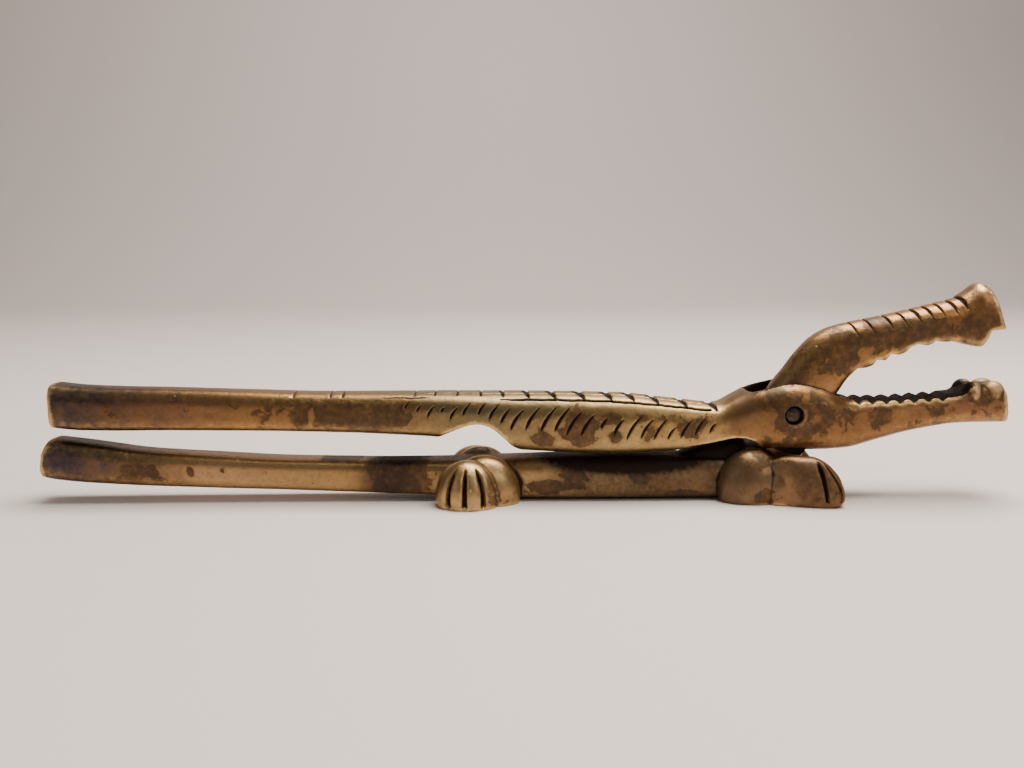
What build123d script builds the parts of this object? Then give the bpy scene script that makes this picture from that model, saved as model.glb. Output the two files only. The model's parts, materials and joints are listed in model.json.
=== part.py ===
from build123d import *
import os
from math import cos, pi, radians, sin

# Cast brass crocodile nut cracker: two levers that cross at one steel pin.
# Millimetres. +X runs towards the snout, +Y to the animal's left, +Z up.
# The origin is on the table, under the middle of the whole object.
# The handles are drawn squeezed together, with the jaws at their smallest gap,
# which is how the object stands at rest.

# ------------------------------------------------------------- driving sizes
TAIL_END_X = -130.0
SNOUT_END_X = 130.0

PIN_X = 71.5                    # the pin's ends are the animal's eyes
PIN_Z = 23.3
PIN_DIAMETER = 6.0
PIN_RUNNING_GAP = 0.05          # radial, where the neck turns on the pin
PIN_RECESS = 0.9                # each end lies this far below the cheek
PIN_CROWN = 0.35                # each end is hammered to a low, blunt cone
PIN_FLAT_RADIUS = 1.3

CHEEK_HALF_WIDTH = 9.8
SLOT_HALF_WIDTH = 5.9           # slot through the head, for the neck
SLOT_REAR_X = 60.2
SLOT_FRONT_X = 85.4
SLOT_CORNER = 3.4
NECK_HALF_WIDTH = 5.5
JAW_HALF_WIDTH = 5.7

TOOTH_PITCH = 3.76              # along the lower jaw
TOOTH_DEPTH = 1.6
LOWER_NOTCHES = 7
FIRST_LOWER_NOTCH_X = 89.6
LOWER_CREST_Z = 27.1            # tooth tips at the back of the lower jaw
LOWER_CREST_FLAT_TO_X = 98.0    # from here they rise with the jaw
LOWER_CREST_SLOPE = 0.056
TOOTH_OVERLAP = 0.4             # an upper notch starts this far below its tooth tip
UPPER_TOOTH_PITCH = 4.08
UPPER_TEETH = 6
UPPER_TOOTH_RISE = 1.5          # height gained from one upper tooth to the next
UPPER_TOOTH_FLATTENING = 0.06   # lost again with the square of the tooth's number

SOLE_Z = 0.0                    # the four paws stand on this plane
FRONT_PAW_HALF_WIDTH = 4.0
HEAD_ROOM_HALF_WIDTH = 10.2     # the head swings down between the front paws
HEAD_ROOM = [(67.0, -5.0), (93.0, -5.0), (93.0, 25.0), (67.0, 25.0)]
TOE_GROOVE_WIDTH = 1.1
TOE_GROOVE_DEPTH = 0.9

ROUND_BACK = 0.89               # corner radius, as a share of the smaller half size
FLAT_FACE = 0.44
TAIL_STEP = 14.0                # spacing of the cross-sections along a lever
PAW_STEP = 8.0                  # the same, along a front paw
NECK_STEP = 1.0                 # the same, as a share of a neck station
LOBE_RINGS = 7                  # rings of a thigh, a shoulder or a hind paw
LOBE_FOOT = -45                 # degrees below the lobe's widest place, under the sole
LOBE_TOP = 82
WIDE_CUT = 30.0                 # half width of a cut that goes right through


# ------------------------------------------------------------- section tools
def ring(centre, up, half_width, half_height, top, belly):
    """A rounded cross-section of four lines and four arcs, square to Y and one up vector.

    top and belly are corner radii, as a share of the smaller half size.
    """
    across = Vector(0, 1, 0)
    plane = Plane(centre, x_dir=across, z_dir=across.cross(up))
    small = min(half_width, half_height)
    corners = [(1, -1, belly), (1, 1, top), (-1, 1, top), (-1, -1, belly)]
    edges = []
    last = (belly * small - half_width, -half_height)
    for side, rise, share in corners:
        radius = share * small
        low = (side * (half_width - radius), rise * half_height)
        bulge = radius * (1 - cos(pi / 4))
        tip = (side * (half_width - bulge), rise * (half_height - bulge))
        high = (side * half_width, rise * (half_height - radius))
        first, second = (low, high) if side * rise < 0 else (high, low)
        edges.append(Line(last, first))
        edges.append(ThreePointArc(first, tip, second))
        last = second
    return plane * make_face(edges)


def filled(stations, step):
    """Add stations between the given ones, on curves that never overshoot.

    A station starts with its place along the bar. Each slope is the harmonic
    mean of the chords on both sides, or zero at a crest or a hollow.
    """
    chords = []
    for a, b in zip(stations, stations[1:]):
        chords.append([(q - p) / (b[0] - a[0]) for p, q in zip(a[1:], b[1:])])
    slopes = [chords[0]]
    for before, after in zip(chords, chords[1:]):
        slopes.append([2 * p * q / (p + q) if p * q > 0 else 0.0 for p, q in zip(before, after)])
    slopes.append(chords[-1])
    result = [stations[0]]
    for k, (a, b) in enumerate(zip(stations, stations[1:])):
        gap = b[0] - a[0]
        pieces = max(1, round(gap / step))
        for i in range(1, pieces + 1):
            t = i / pieces
            ease = 3 * t**2 - 2 * t**3
            lead = gap * (t**3 - 2 * t**2 + t)
            lag = gap * (t**3 - t**2)
            values = [a[0] + gap * t]
            for p, q, m, n in zip(a[1:], b[1:], slopes[k], slopes[k + 1]):
                values.append(p + (q - p) * ease + m * lead + n * lag)
            result.append(tuple(values))
    return result


def straight_bar(stations, step, middle_y=0.0):
    """Loft along X through (x, underside z, top z, half width, top, belly corner)."""
    rings = []
    for x, low, high, half_width, top, belly in filled(stations, step):
        centre = Vector(x, middle_y, (low + high) / 2)
        rings.append(ring(centre, Vector(0, 0, 1), half_width, (high - low) / 2, top, belly))
    return loft(rings, ruled=True)


def bent_bar(stations, step):
    """Loft through (place, back x, back z, front x, front z, half width, corner) stations.

    The bend is near a right angle, so it is lofted in three spans that share rings.
    """
    rings = []
    for _, back_x, back_z, front_x, front_z, half_width, belly in filled(stations, step):
        back = Vector(back_x, 0, back_z)
        front = Vector(front_x, 0, front_z)
        up = (back - front).normalized()
        rings.append(ring((back + front) / 2, up, half_width, (back - front).length / 2, ROUND_BACK, belly))
    joints = [0, len(rings) // 4, len(rings) // 2, len(rings) - 1]
    spans = [loft(rings[a:b + 1], ruled=True) for a, b in zip(joints, joints[1:])]
    return spans[0] + spans[1:]


def side_plane(y):
    """Plane of a side view at one y: its own x is X and its own y is Z."""
    return Plane((0, y, 0), x_dir=(1, 0, 0), z_dir=(0, -1, 0))


def plate(outline, half_width, middle_y=0.0):
    """Extrude a closed side outline of straight lines to both sides of a middle y."""
    face = make_face(Polyline(*outline, close=True))
    return extrude(side_plane(middle_y) * face, amount=half_width, both=True)


def hollow_under(curve, floor_z, half_width):
    """Cutter for a hollow in an underside: everything between a curve and a low floor."""
    roof = Spline(*curve)
    walls = Polyline(curve[-1], (curve[-1][0], floor_z), (curve[0][0], floor_z), curve[0])
    return extrude(side_plane(0) * make_face(roof + walls), amount=half_width, both=True)


def lobe(centre, radii):
    """A solid egg without its bottom: elliptical rings, as on a ball stretched to three half sizes."""
    wide, deep, tall = radii
    rings = []
    for k in range(LOBE_RINGS):
        rise = radians(LOBE_FOOT + (LOBE_TOP - LOBE_FOOT) * k / (LOBE_RINGS - 1))
        level = Pos(0, 0, tall * sin(rise))
        rings.append(level * Ellipse(wide * cos(rise), deep * cos(rise)))
    return Pos(*centre) * loft(rings, ruled=True)


def pin_bore(radius):
    """Cutter for a bore on the pin's axis."""
    return Pos(PIN_X, 0, PIN_Z) * Rot(90, 0, 0) * Cylinder(radius, 2 * WIDE_CUT)


# ------------------------------------------------------------- body lever
# Upper handle, scaled back, cheeks and lower jaw, cast in one piece.
BODY_STATIONS = [
    # x, underside z, top z, half width, top corner, belly corner
    (-126.6, 20.4, 32.5, 6.2, 0.60, 0.54),
    (-118.0, 19.6, 31.6, 6.1, 0.63, 0.54),
    (-85.0, 19.3, 30.5, 5.8, 0.66, 0.54),
    (-50.0, 18.6, 29.4, 6.0, 0.70, 0.54),
    (-24.0, 17.3, 29.3, 7.3, 0.75, 0.57),
    (0.0, 13.5, 29.1, 8.4, 0.80, 0.60),
    (25.0, 12.4, 28.5, 8.7, 0.80, 0.60),
    (42.0, 13.0, 26.7, 8.1, 0.80, 0.60),
    (52.0, 13.5, 25.7, 7.4, 0.80, 0.60),
    (57.5, 13.6, 28.1, 7.9, 0.80, 0.60),
    (64.0, 13.5, 31.2, 9.1, 0.80, 0.60),
    (72.0, 13.2, 32.1, 9.8, 0.70, 0.54),
    (80.0, 13.2, 30.7, 9.3, 0.70, 0.54),
    (87.0, 13.5, 27.3, 8.0, 0.60, 0.60),
    (95.0, 15.4, 26.9, 6.5, FLAT_FACE, 0.63),
    (106.0, 18.1, 27.5, 5.8, FLAT_FACE, 0.63),
    (117.6, 19.8, 28.2, 5.7, FLAT_FACE, 0.63),
    (120.0, 19.9, 31.2, 5.8, 0.54, 0.63),
    (126.0, 20.0, 31.3, 6.0, 0.60, 0.63),
    (SNOUT_END_X, 20.0, 30.9, 6.0, 0.60, 0.63),
]
KNEE_HOLLOW = [(-23.5, 16.6), (-21.5, 18.1), (-16.6, 20.3), (-12.6, 21.3), (-8.8, 20.5),
               (-5.6, 18.0), (-2.6, 15.0), (0.5, 13.4)]
SHOULDER_HOLLOW = [(40.0, 13.3), (45.0, 14.6), (51.0, 15.8), (57.0, 17.0), (61.0, 16.3),
                   (64.0, 14.2), (67.0, 12.8)]
HEEL = [(66.0, 16.5), (66.0, 14.4), (70.0, 12.9), (73.9, 12.1), (75.2, 13.2), (75.2, 16.5)]
HEEL_Y = 7.7                    # middle of the heel under each cheek
HEEL_WIDTH = 3.0
SNOUT_CREASE = [(120.6, 33.0), (122.0, 30.0), (123.6, 33.0)]
SNOUT_SLANT = [(131.0, 19.0), (131.0, 33.0), (127.6, 33.0), (129.1, 28.0), (130.1, 19.0)]


def lower_tooth_notches():
    """V cuts across the lower jaw, between its teeth, open above."""
    half = TOOTH_PITCH / 2
    notches = []
    for k in range(LOWER_NOTCHES):
        x = FIRST_LOWER_NOTCH_X + k * TOOTH_PITCH
        crest_z = LOWER_CREST_Z + LOWER_CREST_SLOPE * max(0.0, x - LOWER_CREST_FLAT_TO_X)
        outline = [(x - half, crest_z), (x, crest_z - TOOTH_DEPTH), (x + half, crest_z),
                   (x + half, crest_z + TOOTH_PITCH), (x - half, crest_z + TOOTH_PITCH)]
        notches.append(plate(outline, WIDE_CUT))
    return notches


def make_body_lever():
    """Loft the casting, then cut its hollows, slot, pin bore and teeth."""
    body = straight_bar(BODY_STATIONS, TAIL_STEP)
    for side in (-1, 1):
        body += plate(HEEL, HEEL_WIDTH / 2, side * HEEL_Y)
    slot_length = SLOT_FRONT_X - SLOT_REAR_X
    slot_plan = RectangleRounded(slot_length, 2 * SLOT_HALF_WIDTH, SLOT_CORNER)
    slot = Pos((SLOT_FRONT_X + SLOT_REAR_X) / 2, 0, 0) * extrude(slot_plan, amount=2 * PIN_Z)
    for curve in (KNEE_HOLLOW, SHOULDER_HOLLOW):
        body -= hollow_under(curve, SOLE_Z, WIDE_CUT)
    body -= slot
    body -= pin_bore(PIN_DIAMETER / 2)
    body -= lower_tooth_notches()
    body -= plate(SNOUT_CREASE, WIDE_CUT)
    body -= plate(SNOUT_SLANT, WIDE_CUT)
    return body


# ------------------------------------------------------------- leg lever
# Lower handle, belly bar, four legs, neck and upper jaw, cast in one piece.
BAR_STATIONS = [
    (TAIL_END_X, 6.8, 17.7, 5.9, 0.60, 0.63),
    (-126.5, 6.1, 17.4, 6.2, 0.60, 0.63),
    (-119.0, 5.3, 16.4, 6.3, 0.60, 0.63),
    (-101.0, 4.2, 13.9, 6.1, 0.60, 0.63),
    (-87.0, 3.6, 12.9, 5.9, 0.57, 0.63),
    (-60.0, 2.7, 11.4, 5.8, 0.54, 0.60),
    (-30.0, 1.5, 10.9, 6.2, 0.54, 0.54),
    (0.0, 0.4, 11.4, 7.0, 0.54, 0.52),
    (25.0, 0.3, 11.7, 7.5, 0.54, 0.52),
    (48.0, 0.3, 11.7, 7.5, 0.54, 0.52),
    (58.0, 0.3, 11.4, 7.2, 0.54, 0.52),
    (66.0, 0.3, 10.5, 5.5, 0.60, 0.54),
    (74.0, 0.6, 7.5, 4.8, 0.70, 0.60),
]
TAIL_SLANT = [(-135.0, 0.0), (-130.4, 7.0), (-129.4, 13.5), (-127.4, 18.0), (-127.4, 25.0), (-135.0, 25.0)]

NECK_STATIONS = [
    # place, back x, back z, front x, front z, half width, corner of the front
    (0.0, 62.0, 5.0, 74.0, 5.0, 4.9, 0.70),
    (1.0, 62.3, 14.0, 76.5, 12.5, 5.3, 0.70),
    (2.0, 63.5, 23.5, 81.0, 20.6, NECK_HALF_WIDTH, 0.70),
    (3.0, 66.9, 30.0, 83.8, 26.0, NECK_HALF_WIDTH, 0.70),
    (4.0, 70.5, 34.8, 85.8, 29.4, NECK_HALF_WIDTH, 0.70),
    (5.0, 74.1, 39.5, 87.9, 32.4, NECK_HALF_WIDTH, 0.66),
    (6.0, 77.9, 43.3, 89.8, 33.8, NECK_HALF_WIDTH, 0.60),
    (7.0, 82.2, 45.7, 91.7, 34.7, NECK_HALF_WIDTH, 0.52),
    (8.0, 88.0, 47.3, 94.2, 35.8, JAW_HALF_WIDTH, FLAT_FACE),
    (9.0, 95.0, 48.6, 98.8, 37.7, JAW_HALF_WIDTH, FLAT_FACE),
    (10.0, 103.0, 50.3, 105.6, 40.1, JAW_HALF_WIDTH, FLAT_FACE),
    (11.0, 111.0, 52.2, 112.6, 41.8, JAW_HALF_WIDTH, FLAT_FACE),
    (12.0, 114.6, 53.2, 116.6, 41.6, JAW_HALF_WIDTH, FLAT_FACE),
    (13.0, 118.0, 55.4, 120.0, 40.8, 5.8, FLAT_FACE),
    (14.0, 121.3, 57.5, 124.4, 40.3, 6.0, FLAT_FACE),
    (15.0, 123.7, 56.9, 129.2, 41.6, 6.0, FLAT_FACE),
]
SNOUT_HOOK = [(122.4, 38.0), (122.4, 40.5), (124.1, 45.0), (132.0, 45.6), (132.0, 38.0)]
FIRST_UPPER_TIP = (92.3, 35.2)
UPPER_NOTCH = (1.5, 2.0)        # deep corner of a notch, from the tooth tip behind it
UPPER_NOTCH_FALL = 0.5          # its roof comes down this much to the next tip

HIND_THIGH = ((-10.4, 7.0, 2.6), (9.7, 5.8, 10.3))      # centre, half sizes
HIND_PAW = ((-14.8, 10.4, 3.0), (8.5, 6.8, 9.2))
SHOULDER = ((60.0, 5.7, 4.4), (8.8, 4.7, 9.7))
FRONT_PAW_HIP = (61.3, 8.8)             # the paw is lofted from here
FRONT_PAW_SPLAY = 13.5                  # degrees outwards
FRONT_PAW_STATIONS = [
    # from the hip outwards: distance, underside z, top z, half width, top and belly corner
    (-3.0, -3.0, 10.4, 2.2, 0.86, 0.70),
    (4.0, -3.0, 12.2, 3.1, 0.80, 0.70),
    (11.0, -3.0, 13.0, FRONT_PAW_HALF_WIDTH, 0.75, 0.70),
    (14.5, -3.0, 12.9, FRONT_PAW_HALF_WIDTH, 0.75, 0.70),
    (17.8, -3.0, 11.7, FRONT_PAW_HALF_WIDTH, 0.75, 0.70),
    (20.4, -1.4, 9.4, 3.7, 0.80, 0.70),
    (22.2, 0.2, 6.9, 3.3, 0.86, 0.75),
    (23.2, 1.5, 4.2, 2.5, 0.92, 0.86),
]
HIND_TOE_ANGLES = (-38, -4, 32, 68)     # grooves, from straight out, towards the snout
HIND_TOE_START = 3.0                    # the grooves start this far from the dome's middle
HIND_TOE_REACH = (1.2, 11.2)            # lowest and highest point of a groove
FRONT_TOE_OFFSETS = (-1.9, 0.0, 1.9)
FRONT_TOES_FROM = 15.0                  # distance from the hip
FRONT_TOES_TO = 27.0
FRONT_TOE_LOW = 1.0
FRONT_TOE_HEIGHT = 14.0


def hind_toe_cuts():
    """Blades that fan out over the paw's dome, less the core that they leave whole."""
    (x, y, z), (rx, ry, rz) = HIND_PAW
    low, high = HIND_TOE_REACH
    cuts = []
    for angle in HIND_TOE_ANGLES:
        blade = Pos(0, -rx - HIND_TOE_START, (low + high) / 2) * Box(TOE_GROOVE_WIDTH, 2 * rx, high - low)
        cuts.append(Pos(x, -y, 0) * Rot(0, 0, angle) * blade)
    deep = TOE_GROOVE_DEPTH
    core = Pos(x, -y, z) * scale(Sphere(1.0), by=(rx - deep, ry - deep, rz - deep))
    return [cut - core for cut in cuts]


def front_toe_cuts():
    """Upright blades over the paw's nose, less the core that they leave whole."""
    deep = TOE_GROOVE_DEPTH
    underside = [(place - deep, low) for place, low, *_ in FRONT_PAW_STATIONS]
    back = [(place - deep, high - deep) for place, _, high, *_ in FRONT_PAW_STATIONS]
    core = plate(underside + back[::-1], WIDE_CUT)
    length = FRONT_TOES_TO - FRONT_TOES_FROM
    cuts = []
    for offset in FRONT_TOE_OFFSETS:
        blade = Box(length, TOE_GROOVE_WIDTH, FRONT_TOE_HEIGHT)
        middle_z = FRONT_TOE_LOW + FRONT_TOE_HEIGHT / 2
        cuts.append(Pos(FRONT_TOES_FROM + length / 2, offset, middle_z) * blade - core)
    return cuts


def make_right_legs():
    """Hind and front leg on the -Y side, cut flat at the sole."""
    (tx, ty, tz), thigh_radii = HIND_THIGH
    (px, py, pz), paw_radii = HIND_PAW
    (sx, sy, sz), shoulder_radii = SHOULDER
    hip_x, hip_y = FRONT_PAW_HIP
    hind = lobe((tx, -ty, tz), thigh_radii) + (lobe((px, -py, pz), paw_radii) - hind_toe_cuts())
    front_paw = straight_bar(FRONT_PAW_STATIONS, PAW_STEP) - front_toe_cuts()
    front_paw = Pos(hip_x, -hip_y, 0) * Rot(0, 0, -FRONT_PAW_SPLAY) * front_paw
    front = lobe((sx, -sy, sz), shoulder_radii) + front_paw
    head_room = plate(HEAD_ROOM, HEAD_ROOM_HALF_WIDTH)
    below_sole = Pos(0, 0, SOLE_Z - PIN_Z) * Box(SNOUT_END_X - TAIL_END_X, 2 * WIDE_CUT, 2 * PIN_Z)
    return [hind - below_sole, front - head_room - below_sole]


def upper_tooth_notches():
    """Three-sided cuts across the upper jaw that leave stepped teeth."""
    tip_x, tip_z = FIRST_UPPER_TIP
    deep_x, deep_z = UPPER_NOTCH
    notches = []
    for k in range(UPPER_TEETH):
        x = tip_x + k * UPPER_TOOTH_PITCH
        z = tip_z + k * UPPER_TOOTH_RISE - k**2 * UPPER_TOOTH_FLATTENING
        next_x = x + UPPER_TOOTH_PITCH
        floor_z = z - TOOTH_OVERLAP
        outline = [(x, floor_z), (x + deep_x, z + deep_z), (next_x, z + deep_z - UPPER_NOTCH_FALL),
                   (next_x, floor_z)]
        notches.append(plate(outline, WIDE_CUT))
    return notches


def make_leg_lever():
    """Join the bar, neck, upper jaw and legs, then cut the tail end, bore and teeth."""
    lever = straight_bar(BAR_STATIONS, TAIL_STEP) + bent_bar(NECK_STATIONS, NECK_STEP)
    for leg in make_right_legs():
        lever += leg
        lever += mirror(leg, about=Plane.XZ)
    lever -= plate(TAIL_SLANT, WIDE_CUT)
    lever -= plate(SNOUT_HOOK, WIDE_CUT)
    lever -= pin_bore(PIN_DIAMETER / 2 + PIN_RUNNING_GAP)
    lever -= upper_tooth_notches()
    return lever


# ------------------------------------------------------------- pivot pin
def make_pivot_pin():
    """Plain steel pin with a low, blunt cone on each end."""
    radius = PIN_DIAMETER / 2
    tip = CHEEK_HALF_WIDTH - PIN_RECESS
    shoulder = tip - PIN_CROWN
    half_outline = Polyline((0, -tip), (PIN_FLAT_RADIUS, -tip), (radius, -shoulder), (radius, shoulder),
                            (PIN_FLAT_RADIUS, tip), (0, tip), close=True)
    return Pos(PIN_X, 0, PIN_Z) * revolve(make_face(half_outline), axis=Axis.Y)


def main():
    os.makedirs("parts", exist_ok=True)
    parts = {
        "body_lever": make_body_lever(),
        "leg_lever": make_leg_lever(),
        "pivot_pin": make_pivot_pin(),
    }
    for name, part in parts.items():
        box = part.bounding_box()
        solids = len(part.solids())
        print(f"{name}: {solids} solid, {part.volume:.0f} mm3, x {box.min.X:.2f} to {box.max.X:.2f}, "
              f"y {box.min.Y:.2f} to {box.max.Y:.2f}, z {box.min.Z:.2f} to {box.max.Z:.2f}")
        export_step(part, f"parts/{name}.step")


main()
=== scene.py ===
# %% [markdown]
# A brass nut cracker in the form of a crocodile
#
# Two brass castings turn on one steel pin. One casting is the upper tail, the scaled
# body, the head and the lower jaw. The other is the lower tail, the belly bar, the four
# legs, the neck and the upper jaw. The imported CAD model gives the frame: its pieces are
# in place and to size, but they are plain. This script builds the worn, carved brass
# around that frame, one step at a time.

# %% Open the frame
import json
import math

import bmesh
import bpy
import numpy as np
from mathutils import Matrix, Vector
from mathutils.bvhtree import BVHTree

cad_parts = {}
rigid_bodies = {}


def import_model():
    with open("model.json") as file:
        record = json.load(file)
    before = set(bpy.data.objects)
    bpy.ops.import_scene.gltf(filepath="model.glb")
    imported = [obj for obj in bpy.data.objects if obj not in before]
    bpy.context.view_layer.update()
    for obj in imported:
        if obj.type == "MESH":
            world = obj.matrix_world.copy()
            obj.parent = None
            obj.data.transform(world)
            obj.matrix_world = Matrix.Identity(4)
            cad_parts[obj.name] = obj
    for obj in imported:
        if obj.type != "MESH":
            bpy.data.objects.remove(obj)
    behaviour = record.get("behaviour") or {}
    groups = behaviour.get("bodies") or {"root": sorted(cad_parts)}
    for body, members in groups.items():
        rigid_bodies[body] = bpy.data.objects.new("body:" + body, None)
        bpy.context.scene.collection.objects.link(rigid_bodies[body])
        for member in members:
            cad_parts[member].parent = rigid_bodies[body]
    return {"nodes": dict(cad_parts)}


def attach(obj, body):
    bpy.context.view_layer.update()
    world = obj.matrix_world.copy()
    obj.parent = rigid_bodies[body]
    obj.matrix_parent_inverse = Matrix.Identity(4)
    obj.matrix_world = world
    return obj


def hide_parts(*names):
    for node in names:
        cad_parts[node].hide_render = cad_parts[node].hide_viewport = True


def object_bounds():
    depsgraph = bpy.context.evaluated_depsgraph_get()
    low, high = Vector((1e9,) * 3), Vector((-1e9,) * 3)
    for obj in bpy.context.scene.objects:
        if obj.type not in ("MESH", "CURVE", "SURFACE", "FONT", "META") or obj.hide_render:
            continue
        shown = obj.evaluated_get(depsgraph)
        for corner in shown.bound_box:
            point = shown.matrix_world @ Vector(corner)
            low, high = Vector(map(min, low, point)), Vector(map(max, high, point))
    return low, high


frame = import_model()
cad_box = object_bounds()
MM = 0.001
print("frame nodes:", sorted(frame["nodes"]))

# %% [markdown]
# The camera
#
# The photograph was taken from a little above, square to the animal's right side and
# quite near. The distance, the height and the tilt were found by fitting the outline of
# the object. A near camera matters here: it is why the far paw shows above the bar and
# why the far row of teeth looks shifted.

# %% Place the camera
CAMERA_SPOT = Vector((-2.82, -269.19, 67.11)) * MM
CAMERA_TILT = math.radians(90 - 7.63)
CAMERA_ROLL = -0.0079
SENSOR_WIDTH, LENS, NEAREST = 36.0, 35.16, 0.01
camera_data = bpy.data.cameras.new("camera")
camera_data.sensor_width = SENSOR_WIDTH
camera_data.lens = LENS
camera_data.clip_start = NEAREST
camera = bpy.data.objects.new("camera", camera_data)
tilted = Matrix.Translation(CAMERA_SPOT) @ Matrix.Rotation(CAMERA_TILT, 4, "X")
camera.matrix_world = tilted @ Matrix.Rotation(CAMERA_ROLL, 4, "Z")
bpy.context.scene.collection.objects.link(camera)
bpy.context.scene.camera = camera
print("camera at", [round(v, 3) for v in CAMERA_SPOT])

# %% [markdown]
# The table and the light
#
# The object stands on a plain pale floor that curves up into a backdrop. One wide soft
# light hangs over it to the right, two weak ones fill from the front, and a fourth keeps
# the backdrop pale. Most light comes from above, so the backs shine and the sides stay
# deep. Brass shows what it reflects, so large lights matter more than strong ones.


# %% Make the floor and the lights
def new_object(name, mesh):
    """Link a mesh to the scene as an object at the origin."""
    obj = bpy.data.objects.new(name, mesh)
    bpy.context.scene.collection.objects.link(obj)
    return obj


def add_values(mesh, name, values):
    """Write one number or one vector on every point of a mesh."""
    numbers = np.array(values, dtype=float)
    kind, key = ("FLOAT_VECTOR", "vector") if numbers.ndim == 2 else ("FLOAT", "value")
    mesh.attributes.new(name, kind, "POINT").data.foreach_set(key, numbers.ravel())


def mesh_object(name, vertices, edges=(), faces=(), **values):
    """A new mesh from plain lists, with values on its points, linked to the scene."""
    mesh = bpy.data.meshes.new(name)
    mesh.from_pydata(vertices, edges, faces)
    for key, numbers in values.items():
        add_values(mesh, key, numbers)
    return new_object(name, mesh)


def shade_smooth(obj):
    for polygon in obj.data.polygons:
        polygon.use_smooth = True


def plain_material(name, color, roughness):
    material = bpy.data.materials.new(name)
    material.use_nodes = True
    shader = material.node_tree.nodes["Principled BSDF"]
    shader.inputs["Base Color"].default_value = (*color, 1.0)
    shader.inputs["Roughness"].default_value = roughness
    return material


def make_floor(half_width, front_y, back_y, bend_radius, wall_height, bends=12):
    """A sheet that lies flat, bends up behind the object and stands as a backdrop."""
    profile = [(front_y, 0.0), (back_y, 0.0)]
    for k in range(1, bends + 1):
        angle = math.radians(90 * k / bends)
        profile.append((back_y + bend_radius * math.sin(angle),
                        bend_radius * (1 - math.cos(angle))))
    profile.append((back_y + bend_radius, wall_height))
    vertices = [(x, y, z) for y, z in profile for x in (-half_width, half_width)]
    faces = [(2 * k, 2 * k + 1, 2 * k + 3, 2 * k + 2) for k in range(len(profile) - 1)]
    return mesh_object("floor", vertices, (), faces)


floor = make_floor(half_width=4.0, front_y=-1.5, back_y=0.9, bend_radius=0.6, wall_height=3.0)
shade_smooth(floor)
floor.data.materials.append(plain_material("pale_floor", (0.77, 0.67, 0.61), 0.55))

WARM, COOL, ROSY = (1.0, 0.96, 0.91), (0.90, 0.93, 1.0), (1.0, 0.97, 0.97)
LIGHTS = [
    # name, place, the point it faces, width in metres, watts, colour
    ("overhead", (0.20, 0.08, 0.75), (0.0, 0.0, 0.02), 0.55, 13.0, WARM),
    ("front_right", (0.55, -0.60, 0.50), (0.03, 0.0, 0.02), 0.40, 1.6, WARM),
    ("fill_left", (-0.60, -0.45, 0.35), (-0.03, 0.0, 0.02), 0.50, 0.5, COOL),
    ("backdrop_light", (0.0, 0.55, 1.3), (0.0, 1.5, 0.25), 0.8, 11.5, ROSY),
]
for name, spot, aim, size, power, color in LIGHTS:
    data = bpy.data.lights.new(name, "AREA")
    data.size = size
    data.energy = power
    data.color = color
    light = bpy.data.objects.new(name, data)
    light.location = spot
    light.rotation_euler = (Vector(aim) - Vector(spot)).to_track_quat("-Z", "Y").to_euler()
    bpy.context.scene.collection.objects.link(light)

world = bpy.data.worlds.new("soft_room")
world.use_nodes = True
room_light = world.node_tree.nodes["Background"].inputs
room_light["Color"].default_value = (0.82, 0.81, 0.82, 1.0)
room_light["Strength"].default_value = 0.14
bpy.context.scene.world = world

# %% [markdown]
# Cross-sections along a bar
#
# Both castings are long bars whose section changes slowly: a rounded back and a flatter
# belly. A superellipse draws such a section with three numbers, its two half sizes and
# how square it is. Sections at a few measured stations are enough, because a curve that
# never overshoots fills in the rest. This is what a loft does in CAD, but here the rings
# are close together, so no facet shows in the metal.


# %% Rings and lofts
RING_POINTS = 96


def signed_power(value, exponent):
    return math.copysign(abs(value) ** exponent, value)


def ring(centre, up, half_width, half_height, top, belly):
    """A superellipse round a centre, in the plane of Y and one up vector."""
    points = []
    for k in range(RING_POINTS):
        angle = 2 * math.pi * k / RING_POINTS
        bow = 2 / (top if math.sin(angle) >= 0 else belly)
        across = Vector((0, half_width * signed_power(math.cos(angle), bow), 0))
        points.append(centre + across + up * (half_height * signed_power(math.sin(angle), bow)))
    return points


def filled(stations, step):
    """Put stations about one step apart on curves that never overshoot."""
    chords = []
    for a, b in zip(stations, stations[1:]):
        chords.append([(q - p) / (b[0] - a[0]) for p, q in zip(a[1:], b[1:])])
    slopes = [chords[0]]
    for before, after in zip(chords, chords[1:]):
        slopes.append([2 * p * q / (p + q) if p * q > 0 else 0.0
                       for p, q in zip(before, after)])
    slopes.append(chords[-1])
    result = [stations[0]]
    for k, (a, b) in enumerate(zip(stations, stations[1:])):
        gap = b[0] - a[0]
        pieces = max(1, round(gap / step))
        for i in range(1, pieces + 1):
            t = i / pieces
            ease = 3 * t**2 - 2 * t**3
            lead = gap * (t**3 - 2 * t**2 + t)
            lag = gap * (t**3 - t**2)
            values = [a[0] + gap * t]
            for p, q, m, n in zip(a[1:], b[1:], slopes[k], slopes[k + 1]):
                values.append(p + (q - p) * ease + m * lead + n * lag)
            result.append(values)
    return result


def skin_over(name, rings):
    """Join rings of equal count into one closed mesh. Points are in millimetres."""
    count = len(rings[0])
    vertices = [p * MM for points in rings for p in points]
    faces = [tuple(range(count))[::-1]]
    for k in range(len(rings) - 1):
        for i in range(count):
            j = (i + 1) % count
            near, far = k * count, (k + 1) * count
            faces.append((near + i, near + j, far + j, far + i))
    faces.append(tuple(range((len(rings) - 1) * count, len(rings) * count)))
    return outward(mesh_object(name, vertices, (), faces))


def outward(obj):
    """Turn every face of a closed mesh outwards."""
    work = bmesh.new()
    work.from_mesh(obj.data)
    bmesh.ops.recalc_face_normals(work, faces=work.faces)
    work.to_mesh(obj.data)
    work.free()
    return obj


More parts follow.
